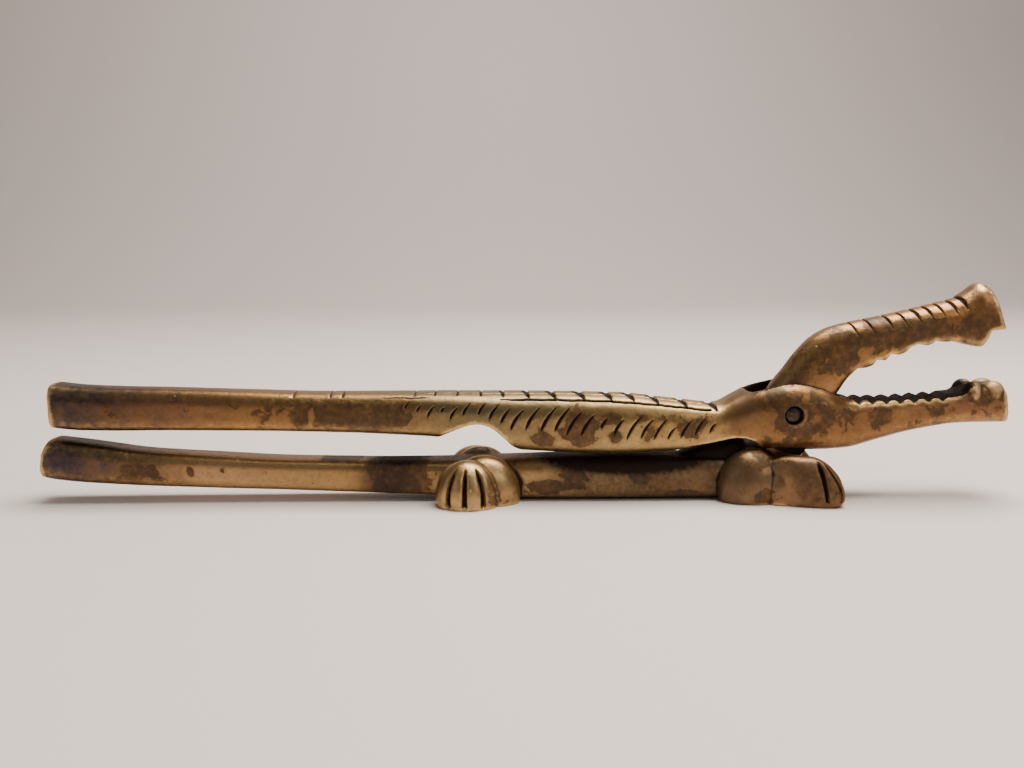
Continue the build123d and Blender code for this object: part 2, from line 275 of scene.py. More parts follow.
def straight_bar(name, stations, step=1.0):
    """Loft along X through (x, underside z, top z, half width, top, belly) stations."""
    rings = []
    for x, low, high, half_width, top, belly in filled(stations, step):
        rings.append(ring(Vector((x, 0, (low + high) / 2)), Vector((0, 0, 1)), half_width,
                          (high - low) / 2, top, belly))
    return skin_over(name, rings)


def bent_bar(name, stations, step=0.1, back_squareness=2.3):
    """Loft through (place, back x, back z, front x, front z, half width, squareness)."""
    rings = []
    for _, back_x, back_z, front_x, front_z, half_width, belly in filled(stations, step):
        back = Vector((back_x, 0, back_z))
        front = Vector((front_x, 0, front_z))
        up = (back - front).normalized()
        rings.append(ring((back + front) / 2, up, half_width, (back - front).length / 2,
                          back_squareness, belly))
    return skin_over(name, rings)


# %% [markdown]
# Simple cutters
#
# A founder's pattern is cut with saws and files. Here each saw cut is a closed prism
# drawn as an outline from the side or from above, and a Boolean modifier takes it away.
# The modifier is applied at once, so each piece stays a plain mesh.


# %% Prisms, eggs and Boolean cuts
SIDE = 30.0


def prism(name, outline, low=-SIDE, high=SIDE, view="side"):
    """Extrude an outline in millimetres: side view (x, z) along Y, plan (x, y) along Z."""
    vertices = []
    for depth in (low, high):
        for u, v in outline:
            place = (u, depth, v) if view == "side" else (u, v, depth)
            vertices.append(Vector(place) * MM)
    count = len(outline)
    faces = [tuple(range(count)), tuple(range(count, 2 * count))[::-1]]
    for i in range(count):
        j = (i + 1) % count
        faces.append((i, j, count + j, count + i))
    return outward(mesh_object(name, vertices, (), faces))


def egg(name, centre, radii):
    """A ball stretched to three half sizes, in millimetres."""
    work = bmesh.new()
    bmesh.ops.create_uvsphere(work, u_segments=96, v_segments=48, radius=1.0)
    for vertex in work.verts:
        vertex.co = Vector([(c + r * v) * MM for c, r, v in zip(centre, radii, vertex.co)])
    mesh = bpy.data.meshes.new(name)
    work.to_mesh(mesh)
    work.free()
    return outward(new_object(name, mesh))


def rod(name, centre, radius, half_length, segments=96):
    """A round rod along Y, in millimetres."""
    outline = []
    for k in range(segments):
        angle = 2 * math.pi * k / segments
        outline.append((centre[0] + radius * math.cos(angle),
                        centre[2] + radius * math.sin(angle)))
    return prism(name, outline, centre[1] - half_length, centre[1] + half_length)


def settle(obj):
    """Apply an object's modifiers and keep the result as its plain mesh."""
    bpy.context.view_layer.update()
    depsgraph = bpy.context.evaluated_depsgraph_get()
    mesh = bpy.data.meshes.new_from_object(obj.evaluated_get(depsgraph))
    old = obj.data
    obj.modifiers.clear()
    obj.data = mesh
    bpy.data.meshes.remove(old)
    return obj


def cut(obj, cutter, operation="DIFFERENCE"):
    """Take one closed mesh away from another, or fuse it on, and drop the tool."""
    modifier = obj.modifiers.new("cut", "BOOLEAN")
    modifier.object = cutter
    modifier.operation = operation
    modifier.solver = "MANIFOLD"
    settle(obj)
    bpy.data.objects.remove(cutter)
    return obj


def joined(name, objects):
    """Put several closed meshes into one object, still overlapping."""
    work = bmesh.new()
    for obj in objects:
        work.from_mesh(obj.data)
    mesh = bpy.data.meshes.new(name)
    work.to_mesh(mesh)
    work.free()
    for obj in objects:
        bpy.data.objects.remove(obj)
    return new_object(name, mesh)


def smooth_curve(points, pieces=8):
    """Points on a smooth curve through the given (x, z) points."""
    result = []
    ends = [points[0]] + points + [points[-1]]
    for a, b, c, d in zip(ends, ends[1:], ends[2:], ends[3:]):
        for i in range(pieces):
            t = i / pieces
            spot = []
            for p, q, r, s in zip(a, b, c, d):
                spot.append(0.5 * (2 * q + (r - p) * t + (2 * p - 5 * q + 4 * r - s) * t**2
                                   + (3 * q - p - 3 * r + s) * t**3))
            result.append(tuple(spot))
    result.append(points[-1])
    return result


# %% [markdown]
# A row of teeth
#
# The lower jaw has a row of equal teeth, like a saw. A small Geometry Nodes tree sets one
# cutter at each step of a line, and turns the copies into real mesh. The count, the pitch
# and the rise from tooth to tooth are its inputs, so the row can be changed without
# touching the cutter. In Python, a node's output is wrapped so that it can stand in a
# formula, and every sign of the formula adds its node.


# %% The tree that repeats a cutter along a line
def sum_of(operation, swapped=False):
    """The method behind one operator of Term."""
    def method(self, other):
        pair = (other, self) if swapped else (self, other)
        return wired(self.tree, "ShaderNodeMath", dict(enumerate(pair)), operation=operation)
    return method


class Term:
    """A socket that can stand in a formula. Each sign adds one math node to its tree."""

    def __init__(self, socket):
        self.socket = socket
        self.tree = socket.id_data

    __add__ = sum_of("ADD")
    __sub__ = sum_of("SUBTRACT")
    __rsub__ = sum_of("SUBTRACT", swapped=True)
    __mul__ = sum_of("MULTIPLY")
    __truediv__ = sum_of("DIVIDE")
    __rtruediv__ = sum_of("DIVIDE", swapped=True)

    def math(self, operation, *others):
        """Any other math node, such as the larger of two values."""
        inputs = dict(enumerate((self, *others)))
        return wired(self.tree, "ShaderNodeMath", inputs, operation=operation)


def wired(tree, kind, inputs, output=0, **settings):
    """Add a node, fill its inputs by name or by place, and return one output."""
    made = tree.nodes.new(kind)
    for key, value in settings.items():
        setattr(made, key, value)
    for key, value in inputs.items():
        if isinstance(value, Term):
            tree.links.new(value.socket, made.inputs[key])
        else:
            made.inputs[key].default_value = value
    return Term(made.outputs[output])


def vector_of(operation, first, second):
    """A vector node. A dot product gives its value, the others give their vector."""
    key = "Scale" if operation == "SCALE" else 1
    output = "Value" if operation == "DOT_PRODUCT" else "Vector"
    return wired(first.tree, "ShaderNodeVectorMath", {0: first, key: second}, output,
                 operation=operation)


def noise_of(place, size, seed, detail=3.0, roughness=0.5, distortion=0.0):
    """Noise from 0 to 1 whose lumps are about one size across."""
    inputs = {"Vector": place, "W": seed, "Scale": 1.0 / size, "Detail": detail,
              "Roughness": roughness, "Distortion": distortion}
    return wired(place.tree, "ShaderNodeTexNoise", inputs, "Fac", noise_dimensions="4D")


def start_tree(name, *inputs):
    """A Geometry Nodes tree. Its inputs are a mesh, (name, type, default) and a material."""
    tree = bpy.data.node_groups.new(name, "GeometryNodeTree")
    mesh, paint = ("Geometry", "Geometry", None), ("Material", "Material", None)
    for label, kind, default in (mesh, *inputs, paint):
        socket = tree.interface.new_socket(label, in_out="INPUT", socket_type="NodeSocket" + kind)
        if default is not None:
            socket.default_value = default
    tree.interface.new_socket("Geometry", in_out="OUTPUT", socket_type="NodeSocketGeometry")
    sockets = tree.nodes.new("NodeGroupInput").outputs
    return tree, {socket.name: Term(socket) for socket in sockets if socket.name}


def end_tree(tree, geometry, material):
    """Turn copies into real mesh, set the material and finish the tree."""
    real = wired(tree, "GeometryNodeRealizeInstances", {"Geometry": geometry})
    painted = wired(tree, "GeometryNodeSetMaterial", {"Geometry": real, "Material": material})
    tree.links.new(painted.socket, tree.nodes.new("NodeGroupOutput").inputs["Geometry"])
    return tree


def run_tree(obj, tree, **values):
    """Put a tree on an object as a modifier and set its inputs by identifier."""
    modifier = obj.modifiers.new(tree.name, "NODES")
    modifier.node_group = tree
    for item in tree.interface.items_tree:
        if item.item_type == "SOCKET" and item.in_out == "INPUT":
            key = item.name.lower().replace(" ", "_")
            if key in values:
                modifier[item.identifier] = values[key]
    return obj


def make_row_tree():
    tree, given = start_tree("row_of_cutters", ("Cutter", "Object", None), ("Count", "Int", 7),
                             ("Pitch", "Float", 0.004), ("Rise", "Float", 0.0))
    step = wired(tree, "ShaderNodeCombineXYZ", {"X": given["Pitch"], "Z": given["Rise"]})
    line = wired(tree, "GeometryNodeMeshLine", {"Count": given["Count"], "Offset": step})
    cutter = wired(tree, "GeometryNodeObjectInfo", {"Object": given["Cutter"]}, "Geometry")
    copies = wired(tree, "GeometryNodeInstanceOnPoints", {"Points": line, "Instance": cutter})
    return end_tree(tree, copies, given["Material"])


row_tree = make_row_tree()
bare_brass = plain_material("bare_brass", (0.5, 0.38, 0.2), 0.4)


def row_of_cuts(name, cutter, count, pitch, rise):
    """A row of one cutter along X, as a plain mesh. Sizes in millimetres."""
    row = new_object(name, bpy.data.meshes.new(name))
    run_tree(row, row_tree, cutter=cutter, count=count, pitch=pitch * MM, rise=rise * MM,
             material=bare_brass)
    settle(row)
    bpy.data.objects.remove(cutter)
    return row


# %% [markdown]
# The body lever
#
# This is the top half of the plier: tail handle, body, head and lower jaw. It is one
# long bar that swells at the belly and the cheeks. The hollows over the knee and the
# shoulder, the slot through the head, the bore for the pin and the teeth are then cut.

# %% Loft the body and cut it
PIN = (71.5, 0.0, 23.3)
PIN_RADIUS = 3.0
BODY_STATIONS = [
    # x, underside z, top z, half width, top squareness, belly squareness
    (-126.6, 20.4, 32.5, 6.2, 3.6, 4),
    (-118, 19.6, 31.6, 6.1, 3.4, 4),
    (-85, 19.3, 30.5, 5.8, 3.2, 4),
    (-50, 18.6, 29.4, 6, 3, 4),
    (-24, 17.3, 29.3, 7.3, 2.8, 3.8),
    (0, 13.5, 29.1, 8.4, 2.6, 3.6),
    (25, 12.4, 28.5, 8.7, 2.6, 3.6),
    (42, 13, 26.7, 8.1, 2.6, 3.6),
    (52, 13.5, 25.7, 7.4, 2.6, 3.6),
    (57.5, 13.6, 28.1, 7.9, 2.6, 3.6),
    (64, 13.5, 31.2, 9.1, 2.6, 3.6),
    (72, 13.2, 32.1, 9.8, 3, 4),
    (80, 13.2, 30.7, 9.3, 3, 4),
    (87, 13.5, 27.3, 8, 3.6, 3.6),
    (95, 15.4, 26.9, 6.5, 5, 3.4),
    (106, 18.1, 27.5, 5.8, 5, 3.4),
    (117.2, 19.8, 28.2, 5.7, 5, 3.4),
    (119.8, 19.9, 30, 5.8, 4, 3.4),
    (126, 20, 30.3, 6, 3.6, 3.4),
    (130, 20, 30.2, 6, 3.6, 3.4),
]
NOSTRILS = [((120.9, 3, 27.6), (2.9, 3.1, 3.6)), ((126.2, 3, 27.5), (4.2, 3.1, 3.8))]
KNEE_HOLLOW = [(-23.5, 16.6), (-21.5, 18.1), (-16.6, 20.3), (-12.6, 21.3), (-8.8, 20.5),
               (-5.6, 18), (-2.6, 15), (0.5, 13.4)]
SHOULDER_HOLLOW = [(40, 13.3), (45, 14.6), (51, 15.8), (57, 17), (61, 16.3),
                   (64, 14.2), (67, 12.8)]
HEEL = [(66, 16.5), (66, 14.4), (70, 12.9), (73.9, 12.1), (75.2, 13.2), (75.2, 16.5)]
SNOUT_SLANT = [(131, 19), (131, 33), (127.6, 33), (129.1, 28), (130.1, 19)]

body = straight_bar("body_casting", BODY_STATIONS)
for side in (-1, 1):
    cut(body, prism("heel", HEEL, side * 6.2 - 1.2, side * 6.2 + 1.2), "UNION")
    for (x, y, z), radii in NOSTRILS:
        cut(body, egg("nostril", (x, side * y, z), radii), "UNION")
for hollow in (KNEE_HOLLOW, SHOULDER_HOLLOW):
    curve = smooth_curve(hollow)
    cut(body, prism("hollow", curve + [(curve[-1][0], 5.0), (curve[0][0], 5.0)]))


def rounded_plan(low_x, high_x, half_width, corner):
    """Outline of a rounded slot seen from above."""
    outline = []
    for quarter, (cx, cy) in enumerate([(high_x - corner, half_width - corner),
                                        (low_x + corner, half_width - corner),
                                        (low_x + corner, corner - half_width),
                                        (high_x - corner, corner - half_width)]):
        for k in range(9):
            angle = math.radians(90 * quarter + 90 * k / 8)
            outline.append((cx + corner * math.cos(angle), cy + corner * math.sin(angle)))
    return outline


HEAD_SLOT = rounded_plan(low_x=60.2, high_x=85.4, half_width=5.9, corner=3.4)
BORE_REACH = 7.9
EYE_RADIUS = 2.5
cut(body, prism("slot", HEAD_SLOT, 0.0, 50.0, view="plan"))
cut(body, rod("bore", PIN, PIN_RADIUS, BORE_REACH))
cut(body, rod("eye", PIN, EYE_RADIUS, SIDE))
cut(body, prism("slant", SNOUT_SLANT))

TOOTH_PITCH = 3.76
TOOTH_DEPTH = 1.6
FIRST_TOOTH = 89.6
TOOTH_TIP = 27.1
ABOVE_TEETH = 30.5
half = TOOTH_PITCH / 2
# three level teeth, then four that climb towards the snout: first x, count, rise of each
for start_x, count, rise in ((FIRST_TOOTH, 3, 0.0), (FIRST_TOOTH + 3 * TOOTH_PITCH, 4, 0.21)):
    vee = [(start_x - half, TOOTH_TIP), (start_x, TOOTH_TIP - TOOTH_DEPTH),
           (start_x + half, TOOTH_TIP), (start_x + half, ABOVE_TEETH),
           (start_x - half, ABOVE_TEETH)]
    # neighbouring cuts would share a wall, so they are taken away one set at a time
    for offset in (0, 1):
        moved = [(x + offset * TOOTH_PITCH, z + offset * rise) for x, z in vee]
        first = prism("vee", moved)
        cut(body, row_of_cuts("vees", first, (count + 1 - offset) // 2, 2 * TOOTH_PITCH, 2 * rise))
print("body casting:", len(body.data.polygons), "faces before the skin")

# %% [markdown]
# The leg lever
#
# The bottom half of the plier is a flat belly bar with the lower tail at one end. At the
# other end it bends up through the head's slot and becomes the upper jaw. The legs are
# cast on: each hind leg is two fat lobes, and each front leg is a shoulder with a long
# paw that points outwards.

# %% Loft the bar, the neck and the legs
BAR_STATIONS = [
    (-130, 6.8, 17.7, 5.9, 3.6, 3.4),
    (-126.5, 6.1, 17.4, 6.2, 3.6, 3.4),
    (-119, 5.3, 16.4, 6.3, 3.6, 3.4),
    (-101, 4.2, 13.9, 6.1, 3.6, 3.4),
    (-87, 3.6, 12.9, 5.9, 3.8, 3.4),
    (-60, 2.7, 11.4, 5.8, 4, 3.6),
    (-30, 1.5, 10.9, 6.2, 4, 4),
    (0, 0.4, 11.4, 7, 4, 4.2),
    (25, 0.3, 11.7, 7.5, 4, 4.2),
    (48, 0.3, 11.7, 7.5, 4, 4.2),
    (58, 0.3, 11.4, 7.2, 4, 4.2),
    (66, 0.3, 10.5, 5.5, 3.6, 4),
    (74, 0.6, 7.5, 4.8, 3, 3.6),
]
TAIL_SLANT = [(-135, 0), (-130.4, 7), (-129.4, 13.5), (-127.4, 18), (-127.4, 25),
              (-135, 25)]
NECK_STATIONS = [
    # place, back x, back z, front x, front z, half width, squareness of the front
    (0, 62, 5, 74, 5, 4.9, 3),
    (1, 62.3, 14, 76.5, 12.5, 5.3, 3),
    (2, 63.5, 23.5, 81, 20.6, 5.5, 3),
    (3, 66.9, 30, 83.8, 26, 5.5, 3),
    (4, 70.5, 34.8, 85.8, 29.4, 5.5, 3),
    (5, 74.1, 39.5, 87.9, 32.4, 5.5, 3.2),
    (6, 77.9, 43.3, 89.8, 33.8, 5.5, 3.6),
    (7, 82.2, 45.7, 91.7, 34.7, 5.5, 4.2),
    (8, 88, 47.3, 94.2, 35.8, 5.7, 5),
    (9, 95, 48.6, 98.8, 37.7, 5.7, 5),
    (10, 103, 50.3, 105.6, 40.1, 5.7, 5),
    (11, 111, 52.2, 112.6, 41.8, 5.7, 5),
    (12, 115.2, 53.2, 116.6, 41.6, 5.7, 5),
    (13, 118.8, 55.3, 120, 40.8, 5.8, 5),
    (14, 122, 57.4, 124.4, 40.3, 6, 5),
    (15, 123.9, 56.9, 129.2, 41.6, 6, 5),
]
NECK_ROOT = [
    # the metal that fills the corner behind the neck
    (40, 4, 11.2, 4.5, 2.6, 3),
    (46, 4, 13.2, 5, 2.8, 3),
    (52, 4, 15.1, 5.2, 3, 3),
    (57, 4, 16.2, 5.2, 3, 3),
    (66, 4, 16.2, 4.6, 2.6, 3),
]
SNOUT_HOOK = [(122.4, 38), (122.4, 40.5), (124.1, 45), (132, 45.6), (132, 38)]

BORE_PLAY = 0.15
bar = straight_bar("bar", BAR_STATIONS)
cut(bar, prism("tail_slant", TAIL_SLANT))
neck = bent_bar("neck", NECK_STATIONS)
root = straight_bar("neck_root", NECK_ROOT)
cut(neck, prism("hook", SNOUT_HOOK))
cut(neck, rod("bore", PIN, PIN_RADIUS + BORE_PLAY, SIDE))
# the upper bite is cut like a flight of stairs, so it is one outline
UPPER_BITE = [
    (85.6, 28), (85.6, 29.2), (87.4, 32.6), (89.3, 35.1), (93.3, 35.1), (94.1, 37.5),
    (96.9, 37.1), (97.9, 39.1), (101.6, 38.3), (102.9, 40.7), (105, 41.5), (108.8, 40.9),
    (109.7, 42.6), (113.6, 41.4), (114.3, 42.7), (117.6, 41.2), (117.6, 28),
]
cut(neck, prism("bite", UPPER_BITE))

# near side first, then far side, whose two lobes were cast closer together
HIND_THIGH = {-1: ((-10.4, 7, 2.6), (9.7, 5.8, 10.3)),
              1: ((-11.6, 7, 2.6), (9, 5.8, 10.1))}
HIND_PAW = {-1: ((-14.8, 10.4, 3), (8.5, 6.8, 9.2)), 1: ((-13.4, 10.4, 3), (8.5, 6.8, 9.2))}
SHOULDER = ((61.2, 6.8, 3.8), (9.3, 6.4, 10.3))
ELBOW = ((69.5, 9.4, 2.6), (6, 4.7, 9.2))
FRONT_PAW_HIP = (61.3, 8.8)
FRONT_PAW_SPLAY = 13.5
FRONT_PAW_STATIONS = [
    # from the hip outwards: distance, underside z, top z, half width, squareness
    (-3, -3, 8, 1.6, 2.2, 2.6),
    (4, -3, 11.2, 2, 2.2, 2.6),
    (7.5, -3, 12.6, 2.9, 2.2, 2.6),
    (11, -3, 13, 3.9, 2.2, 2.6),
    (14.5, -3, 12.9, 4.2, 2.3, 2.6),
    (17.8, -3, 11.7, 4.1, 2.3, 2.6),
    (20.4, -1.4, 9.4, 3.7, 2.3, 2.6),
    (22.2, 0.2, 6.9, 3.3, 2.3, 2.6),
    (23.2, 1.5, 4.2, 2.5, 2.2, 2.4),
]
SOLE_BOX = [(-60, -20), (110, -20), (110, 0), (-60, 0)]
HEAD_ROOM = [(67, -30), (93, -30), (93, 30), (67, 30)]
HEAD_ROOM_HALF_WIDTH = 10.2


def leg_pieces(side):
    """The lobes and the paw of one side, each cut flat at the sole."""
    pieces = []
    lobes = {"thigh": HIND_THIGH[side], "hind_paw": HIND_PAW[side], "shoulder": SHOULDER,
             "elbow": ELBOW}
    for name, ((x, y, z), radii) in lobes.items():
        pieces.append(egg(name, (x, side * y, z), radii))
    paw = straight_bar("front_paw", FRONT_PAW_STATIONS, 0.5)
    turn = Matrix.Rotation(side * math.radians(FRONT_PAW_SPLAY), 4, "Z")
    hip = Vector((FRONT_PAW_HIP[0], side * FRONT_PAW_HIP[1], 0)) * MM
    paw.data.transform(Matrix.Translation(hip) @ turn)
    pieces.append(paw)
    # the front leg leaves room for the head between its cheeks
    for piece in pieces[2:]:
        cut(piece, prism("head_room", HEAD_ROOM, -HEAD_ROOM_HALF_WIDTH, HEAD_ROOM_HALF_WIDTH))
    for piece in pieces:
        cut(piece, prism("sole", SOLE_BOX))
    return pieces


leg = joined("leg_casting", [bar, neck, root] + leg_pieces(-1) + leg_pieces(1))
print("leg casting:", len(leg.data.polygons), "faces before the skin")

# %% [markdown]
# One skin over each casting
#
# A casting has no seams: where a leg meets the bar, the metal flows round the corner,
# and every cut edge is a little soft. A voxel remesh lays one skin over all the
# overlapping pieces, and a few smoothing steps round its edges as years of handling do.


# %% Skin the two castings
def skinned(obj, voxel=0.24, smoothing=3):
    """One closed skin with soft edges."""
    remesh = obj.modifiers.new("skin", "REMESH")
    remesh.mode = "VOXEL"
    remesh.voxel_size = voxel * MM
    soften = obj.modifiers.new("soften", "SMOOTH")
    soften.factor = 0.5
    soften.iterations = smoothing
    settle(obj)
    print(obj.name, "skin:", len(obj.data.polygons), "faces")
    return obj


for casting in (body, leg):
    skinned(casting)

# %% [markdown]
# Blades for the carved marks
#
# The scales, the toes and the line along the back were carved into the pattern with a
# graver. Here each cut is a thin blade that stands across the surface, with its half
# width written on its points. One tree stamps the same blade on many seats, and another
# pulls blades up from drawn lines.


# %% The trees that make the blades
def named(tree, name, kind="FLOAT"):
    """Read a named attribute inside a tree."""
    return wired(tree, "GeometryNodeInputNamedAttribute", {"Name": name}, "Attribute",
                 data_type=kind)


def stored(geometry, name, value):
    """Write a value on the points and return the geometry that carries it."""
    return wired(geometry.tree, "GeometryNodeStoreNamedAttribute",
                 {"Geometry": geometry, "Name": name, "Value": value},
                 data_type="FLOAT", domain="POINT")


def make_stamp_tree():
    tree, given = start_tree("stamp_marks", ("Stamp", "Object", None))
    stamp = wired(tree, "GeometryNodeObjectInfo", {"Object": given["Stamp"]}, "Geometry")
    turn, size = named(tree, "turn", "FLOAT_VECTOR"), named(tree, "size", "FLOAT_VECTOR")
    copies = wired(tree, "GeometryNodeInstanceOnPoints", {
        "Points": given["Geometry"], "Instance": stamp, "Rotation": turn, "Scale": size})
    real = wired(tree, "GeometryNodeRealizeInstances", {"Geometry": copies})
    marks = stored(real, "reach", named(tree, "reach") * named(tree, "width"))
    return end_tree(tree, marks, given["Material"])


def make_pull_tree():
    tree, given = start_tree("pull_blades")
    blades = wired(tree, "GeometryNodeExtrudeMesh", {
        "Mesh": given["Geometry"], "Offset": named(tree, "aim", "FLOAT_VECTOR"),
        "Offset Scale": 1.0}, mode="EDGES")
    return end_tree(tree, blades, given["Material"])


stamp_tree = make_stamp_tree()
pull_tree = make_pull_tree()
BLADE_DEPTH = 3.5


def drawn_blades(name, lines):
    """Blades along lines of (point inside the metal, vector out of it, half width)."""
    vertices, edges, aims, reaches = [], [], [], []
    for line in lines:
        start = len(vertices)
        edges += [(start + i, start + i + 1) for i in range(len(line) - 1)]
        for spot, aim, half_width in line:
            vertices.append(Vector(spot) * MM)
            aims.append(Vector(aim) * MM)
            reaches.append(half_width * MM)
    blades = mesh_object(name, vertices, edges, aim=aims, reach=reaches)
    return settle(run_tree(blades, pull_tree, material=bare_brass))


def stamped_blades(name, profile, seats):
    """The same blade on every seat of (middle, along, outwards, length, half width).

    The profile gives the bow and the half width of a blade one unit long.
    """
    vertices, faces, reaches = [], [], []
    for k, (bow, half_width) in enumerate(profile):
        along = k / (len(profile) - 1) - 0.5
        vertices += [(along, bow, -1.0), (along, bow, 1.0)]
        reaches += [half_width, half_width]
        if k:
            faces.append((2 * k - 2, 2 * k, 2 * k + 1, 2 * k - 1))
    stamp = mesh_object("unit_blade", vertices, (), faces, reach=reaches)
    turns, sizes, widths = [], [], []
    for middle, along, outwards, length, half_width in seats:
        x_axis = Vector(along).normalized()
        z_axis = Vector(outwards).normalized()
        frame_axes = Matrix((x_axis, z_axis.cross(x_axis), z_axis)).transposed()
        turns.append(frame_axes.to_euler())
        mirrored = -1 if outwards[1] > 0 else 1
        sizes.append((length * MM, mirrored * length * MM, BLADE_DEPTH * MM))
        widths.append(half_width * MM)
    spots = [Vector(seat[0]) * MM for seat in seats]
    blades = mesh_object(name, spots, turn=turns, size=sizes, width=widths)
    settle(run_tree(blades, stamp_tree, stamp=stamp, material=bare_brass))
    bpy.data.objects.remove(stamp)
    return blades


# %% [markdown]
# Marks on the body
#
# Slanted slashes stand for the scales on the flanks. They start faint at the tail and
# grow longer and deeper towards the head. The back has a row of wedge cuts between two
# engraved lines, like roof plates. Places and lengths were measured in the photograph
# for the near side, and the far side mirrors them.

# %% Lay out the marks on the body
SLASH_LEAN = math.radians(33)
# the middle of each slash, x and z, then its length
SLASHES = [
    (-30.8, 26.4, 2.2), (-27.6, 25.6, 2.2), (-24.4, 24.8, 3.5), (-21.2, 25.3, 1.5),
    (-18.3, 24.3, 3.7), (-15, 25.3, 3.4), (-11, 25.3, 3.2), (-7.7, 24.6, 4.3), (-4.6, 23.6, 4.4),
    (-1.6, 22.5, 5.8), (2.6, 22.9, 6.2), (6.8, 22.6, 6.9), (10.4, 22.5, 6.7), (13.5, 21.4, 6.5),
    (17.2, 21, 6.1), (21.5, 21.4, 2.9), (25.4, 20.5, 4.4), (29.5, 20.2, 6.8), (32.9, 19.9, 5.5),
    (36.5, 19.7, 5.9), (39.5, 18.6, 3.6), (43.5, 19.8, 5.4), (47.1, 20.1, 4.7), (50.5, 19.8, 2.8),
]
# the bow and the half width along a slash, from its lower end to its upper one
SLASH_PROFILE = [(0.06 * (1 - (2 * t - 1)**2), 0.40 + 0.60 * math.sin(math.pi * t ** 0.75))
                 for t in (k / 12 for k in range(13))]


def ramp(value, low, high):
    """0 below low, 1 above high and straight between them."""
    return min(1.0, max(0.0, (value - low) / (high - low)))


slash_seats = []
for side in (-1, 1):
    for x, z, length in SLASHES:
        half_width = (0.32 + 0.19 * ramp(x, -34, 2)) * (1 - 0.25 * ramp(x, 12, 42))
        along = (math.sin(SLASH_LEAN), 0, math.cos(SLASH_LEAN))
        slash_seats.append(((x, side * 8.0, z), along, (0, side, 0), 1.08 * length, half_width))
slash_blades = stamped_blades("slash_blades", SLASH_PROFILE, slash_seats)


def between(points, x):
    """Height of a polyline of (x, z) points at one x."""
    return float(np.interp(x, [p[0] for p in points], [p[1] for p in points]))


BACK_LINE = [(-40, 29.2), (-27, 28.8), (-19.3, 28.2), (-6, 27.6), (7.3, 27.5), (14.4, 27.2),
             (22.7, 26.8), (28.6, 26.2), (35.8, 25.8), (43, 25.2), (50.2, 24.6)]


def back_line(side, low_x, high_x, half_width):
    """The engraved line below the roof plates of one side."""
    line = []
    for x in np.arange(low_x, high_x + 0.5, 1.0):
        z = between(BACK_LINE, x)
        wobble = 0.12 * math.sin(0.9 * x) + 0.08 * math.sin(2.3 * x + side)
        out = Vector((0, side, 1)).normalized()
        spot = Vector((x, side * 6.0, z + wobble)) - 2.5 * out
        line.append((spot, 5.0 * out, half_width * min(1.0, 0.4 + 0.1 * (x - low_x))))
    return line


def crest_line(side, low_x, high_x):
    """The thin line nearer to the middle of the back."""
    return [((x, side * (3.2 + 0.1 * math.sin(1.7 * x)), 24.0), (0, 0, 8.0), 0.22)
            for x in np.arange(low_x, high_x, 1.0)]


line_blades = drawn_blades("line_blades", [back_line(side, -6.0, 50.0, 0.52) for side in (-1, 1)])
thin_blades = drawn_blades("thin_blades", [crest_line(side, -25.0, 49.0) for side in (-1, 1)]
                           + [back_line(side, -38.0, -26.0, 0.25) for side in (-1, 1)])
ROOF_CUTS = [-61.3, -51.5, -48.2, -28.9, -23.5, -17.5, -11.3, -5.5, 1, 7.8, 15.4, 22.7, 28.7,
             35.2, 42.9, 50.8]
EIGHTHS = [k / 8 for k in range(9)]
roof_lines = []
for x in ROOF_CUTS:
    # plain saw cuts near the tail turn into wide wedges further on
    wedge = ramp(x, -14, 10)
    reach_y = 4.6 + 1.2 * wedge
    for side in (-1, 1):
        roof_lines.append([((x - wedge + 2.0 * wedge * t, side * reach_y * t, 22.0), (0, 0, 9.0),
                            0.22 + (0.10 + 1.15 * wedge) * (1 - t) ** 0.6) for t in EIGHTHS])
roof_blades = drawn_blades("roof_blades", roof_lines)
print("marks on the body:", len(slash_seats), "slashes and", len(ROOF_CUTS), "roof cuts")

# %% [markdown]
# Marks on the leg lever
#
# Each paw is a smooth dome until the toes are cut: four deep grooves fan out over a hind
# paw, and four run over the nose of a front paw. The top of the upper jaw has a row of
# short slanted cuts that match the scales of the body.

# %% Lay out the marks on the legs and the upper jaw
# direction in degrees, half width at the top and at the foot
HIND_TOES = [(-38, 0.45, 0.85), (-4, 0.45, 0.75), (32, 0.50, 0.75), (66, 0.35, 0.38)]
FRONT_TOES = [(72, 0.72, 0.42), (44, 0.40, 0.36), (10, 0.40, 0.36), (-28, 0.40, 0.36)]
# x and half width of each cut, then the line of the jaw's back in x and z
JAW_CUTS = [(88.2, 0.30), (92.3, 0.34), (97.3, 0.42), (101.0, 0.36), (104.7, 0.55),
            (107.9, 0.48), (110.9, 0.40), (114.3, 0.55), (116.9, 0.62)]
JAW_BACK = [station[1:3] for station in NECK_STATIONS[7:14]]
TWELFTHS = [k / 12 for k in range(13)]


def hind_toe(side, azimuth, top_width, foot_width, widening=1.0):
    """A groove from near the top of a hind paw down to just above the sole."""
    (cx, cy, cz), (rx, ry, rz) = HIND_PAW[side]
    line = []
    for t in TWELFTHS:
        rise = math.radians(56 - 68 * t)
        swing = math.radians(azimuth * (0.90 + 0.14 * t))
        out = Vector((rx * math.cos(rise) * math.sin(swing),
                      side * ry * math.cos(rise) * math.cos(swing), rz * math.sin(rise)))
        half_width = (top_width + (foot_width - top_width) * t) * min(1.0, 0.35 + 2.5 * t)
        line.append((Vector((cx, side * cy, cz)) + 0.6 * out, 0.7 * out, widening * half_width))
    return line


